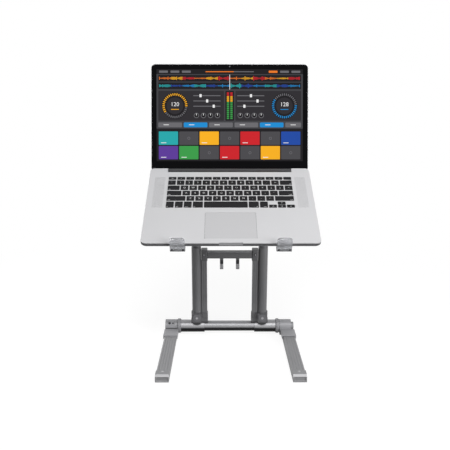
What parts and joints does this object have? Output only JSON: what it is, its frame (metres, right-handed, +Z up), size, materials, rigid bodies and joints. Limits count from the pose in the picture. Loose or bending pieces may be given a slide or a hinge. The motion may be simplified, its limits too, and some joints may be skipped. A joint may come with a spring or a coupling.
{
  "type": "laptop workstation on a folding stand",
  "caption": "Open slim laptop held at a slant by clear front clips on a grey two-post folding stand with long feet, for playing and mixing music.",
  "frame": {"origin": "on the table under the middle of the bounding box", "axes": "+X to the right as the user sees it, +Y away from the user, +Z up"},
  "size_m": [0.3588, 0.3323, 0.6235],
  "materials": {
    "bar_silver": "satin",
    "sleeve_silver": "satin",
    "post_grey": "satin",
    "foot_grey": "satin",
    "fitting_grey": "matte",
    "dark_steel": "satin",
    "black_rubber": "matte",
    "black_plastic": "matte",
    "clip_clear": "gloss",
    "laptop_aluminium": "matte",
    "trackpad_glass": "matte",
    "key_black": "matte",
    "screen_glass": "gloss",
    "display": "gloss"
  },
  "bodies": {
    "stand_frame": {"base_crossbar": "bar_silver", "crossbar_sleeves": "sleeve_silver", "foot_lock_rings": "fitting_grey", "foot_axles": "fitting_grey", "post_knuckle_left": "fitting_grey", "post_knuckle_right": "fitting_grey", "outer_post_left": "post_grey", "outer_post_right": "post_grey", "post_bushes": "black_plastic", "side_rail_left": "post_grey", "side_rail_right": "post_grey", "brace_brackets": "fitting_grey", "brace_bar": "post_grey", "cable_hook_left": "fitting_grey", "cable_hook_right": "fitting_grey", "frame_screws": "dark_steel"},
    "left_foot": {"foot_hub_left": "fitting_grey", "foot_bar_left": "foot_grey", "foot_toe_left": "fitting_grey", "foot_pads_left": "black_rubber"},
    "right_foot": {"foot_hub_right": "fitting_grey", "foot_bar_right": "foot_grey", "foot_toe_right": "fitting_grey", "foot_pads_right": "black_rubber"},
    "left_knob": {"height_knob_left": "black_plastic"},
    "right_knob": {"height_knob_right": "black_plastic"},
    "lift_posts": {"inner_post_left": "bar_silver", "inner_post_right": "bar_silver", "head_tee_left": "fitting_grey", "head_tee_right": "fitting_grey"},
    "tilt_arms": {"head_tube": "bar_silver", "head_end_caps": "black_plastic", "arm_hub_left": "fitting_grey", "arm_hub_right": "fitting_grey", "arm_left": "post_grey", "arm_right": "post_grey", "arm_pads": "black_rubber", "arm_rear_caps": "black_plastic"},
    "left_clip": {"clip_left": "clip_clear", "clip_screws_left": "dark_steel"},
    "right_clip": {"clip_right": "clip_clear", "clip_screws_right": "dark_steel"},
    "laptop_base": {"laptop_case": "laptop_aluminium", "laptop_bottom": "laptop_aluminium", "laptop_feet": "black_rubber", "keyboard_tray": "black_plastic", "laptop_inside": "black_plastic", "hinge_fittings": "black_plastic"},
    "trackpad_plate": {"trackpad": "trackpad_glass"},
    "laptop_lid": {"lid_shell": "laptop_aluminium", "lid_glass": "screen_glass", "display_panel": "display", "hinge_barrel": "black_plastic"},
    "function_key_row": {"function_keys": "key_black"},
    "number_key_row": {"number_keys": "key_black"},
    "upper_key_row": {"upper_keys": "key_black"},
    "home_key_row": {"home_keys": "key_black"},
    "lower_key_row": {"lower_keys": "key_black"},
    "modifier_key_row": {"modifier_keys": "key_black"},
    "space_key": {"space_bar": "key_black"}
  },
  "joints": [
    {"name": "left_foot_fold", "type": "hinge", "parent": "stand_frame", "child": "left_foot", "pos_m": [-0.13625, 0.09273, 0.0175], "axis": [-1, 0, 0], "range_deg": [0, 90]},
    {"name": "left_knob_turn", "type": "hinge", "parent": "stand_frame", "child": "left_knob", "pos_m": [-0.0768, 0.09066, 0.20481], "axis": [0, 0.9976, 0.0698], "continuous": true},
    {"name": "right_foot_fold", "type": "hinge", "parent": "stand_frame", "child": "right_foot", "pos_m": [0.13625, 0.09273, 0.0175], "axis": [-1, 0, 0], "range_deg": [0, 90]},
    {"name": "right_knob_turn", "type": "hinge", "parent": "stand_frame", "child": "right_knob", "pos_m": [0.0768, 0.09066, 0.20481], "axis": [0, 0.9976, 0.0698], "continuous": true},
    {"name": "height_slide", "type": "slide", "parent": "stand_frame", "child": "lift_posts", "axis": [0, -0.0698, 0.9976], "range_m": [-0.06, 0.05]},
    {"name": "arm_tilt", "type": "hinge", "parent": "lift_posts", "child": "tilt_arms", "pos_m": [0, 0.07089, 0.32994], "axis": [1, 0, 0], "range_deg": [-29.5, 60]},
    {"name": "left_clip_slide", "type": "slide", "parent": "tilt_arms", "child": "left_clip", "axis": [0, -0.8704, -0.4924], "range_m": [0, 0.03]},
    {"name": "right_clip_slide", "type": "slide", "parent": "tilt_arms", "child": "right_clip", "axis": [0, -0.8704, -0.4924], "range_m": [0, 0.03]},
    {"name": "laptop_lift", "type": "slide", "parent": "tilt_arms", "child": "laptop_base", "axis": [0, -0.4924, 0.8704], "range_m": [0, 0.12]},
    {"name": "lid_hinge", "type": "hinge", "parent": "laptop_base", "child": "laptop_lid", "pos_m": [0, 0.10857, 0.38619], "axis": [-1, 0, 0], "range_deg": [-130.7, 2]},
    {"name": "trackpad_press", "type": "hinge", "parent": "laptop_base", "child": "trackpad_plate", "pos_m": [0, -0.02571, 0.31343], "axis": [1, 0, 0], "range_deg": [0, 0.35], "stiffness_Nm_per_rad": 8, "springref_deg": -0.34},
    {"name": "function_key_row_press", "type": "slide", "parent": "laptop_base", "child": "function_key_row", "axis": [0, 0.4924, -0.8704], "range_m": [0, 0.0012], "stiffness_N_per_m": 500, "springref_m": -0.0012},
    {"name": "number_key_row_press", "type": "slide", "parent": "laptop_base", "child": "number_key_row", "axis": [0, 0.4924, -0.8704], "range_m": [0, 0.0012], "stiffness_N_per_m": 500, "springref_m": -0.0012},
    {"name": "upper_key_row_press", "type": "slide", "parent": "laptop_base", "child": "upper_key_row", "axis": [0, 0.4924, -0.8704], "range_m": [0, 0.0012], "stiffness_N_per_m": 500, "springref_m": -0.0012},
    {"name": "home_key_row_press", "type": "slide", "parent": "laptop_base", "child": "home_key_row", "axis": [0, 0.4924, -0.8704], "range_m": [0, 0.0012], "stiffness_N_per_m": 500, "springref_m": -0.0012},
    {"name": "lower_key_row_press", "type": "slide", "parent": "laptop_base", "child": "lower_key_row", "axis": [0, 0.4924, -0.8704], "range_m": [0, 0.0012], "stiffness_N_per_m": 500, "springref_m": -0.0012},
    {"name": "modifier_key_row_press", "type": "slide", "parent": "laptop_base", "child": "modifier_key_row", "axis": [0, 0.4924, -0.8704], "range_m": [0, 0.0012], "stiffness_N_per_m": 500, "springref_m": -0.0012},
    {"name": "space_key_press", "type": "slide", "parent": "laptop_base", "child": "space_key", "axis": [0, 0.4924, -0.8704], "range_m": [0, 0.0012], "stiffness_N_per_m": 500, "springref_m": -0.0012}
  ]
}
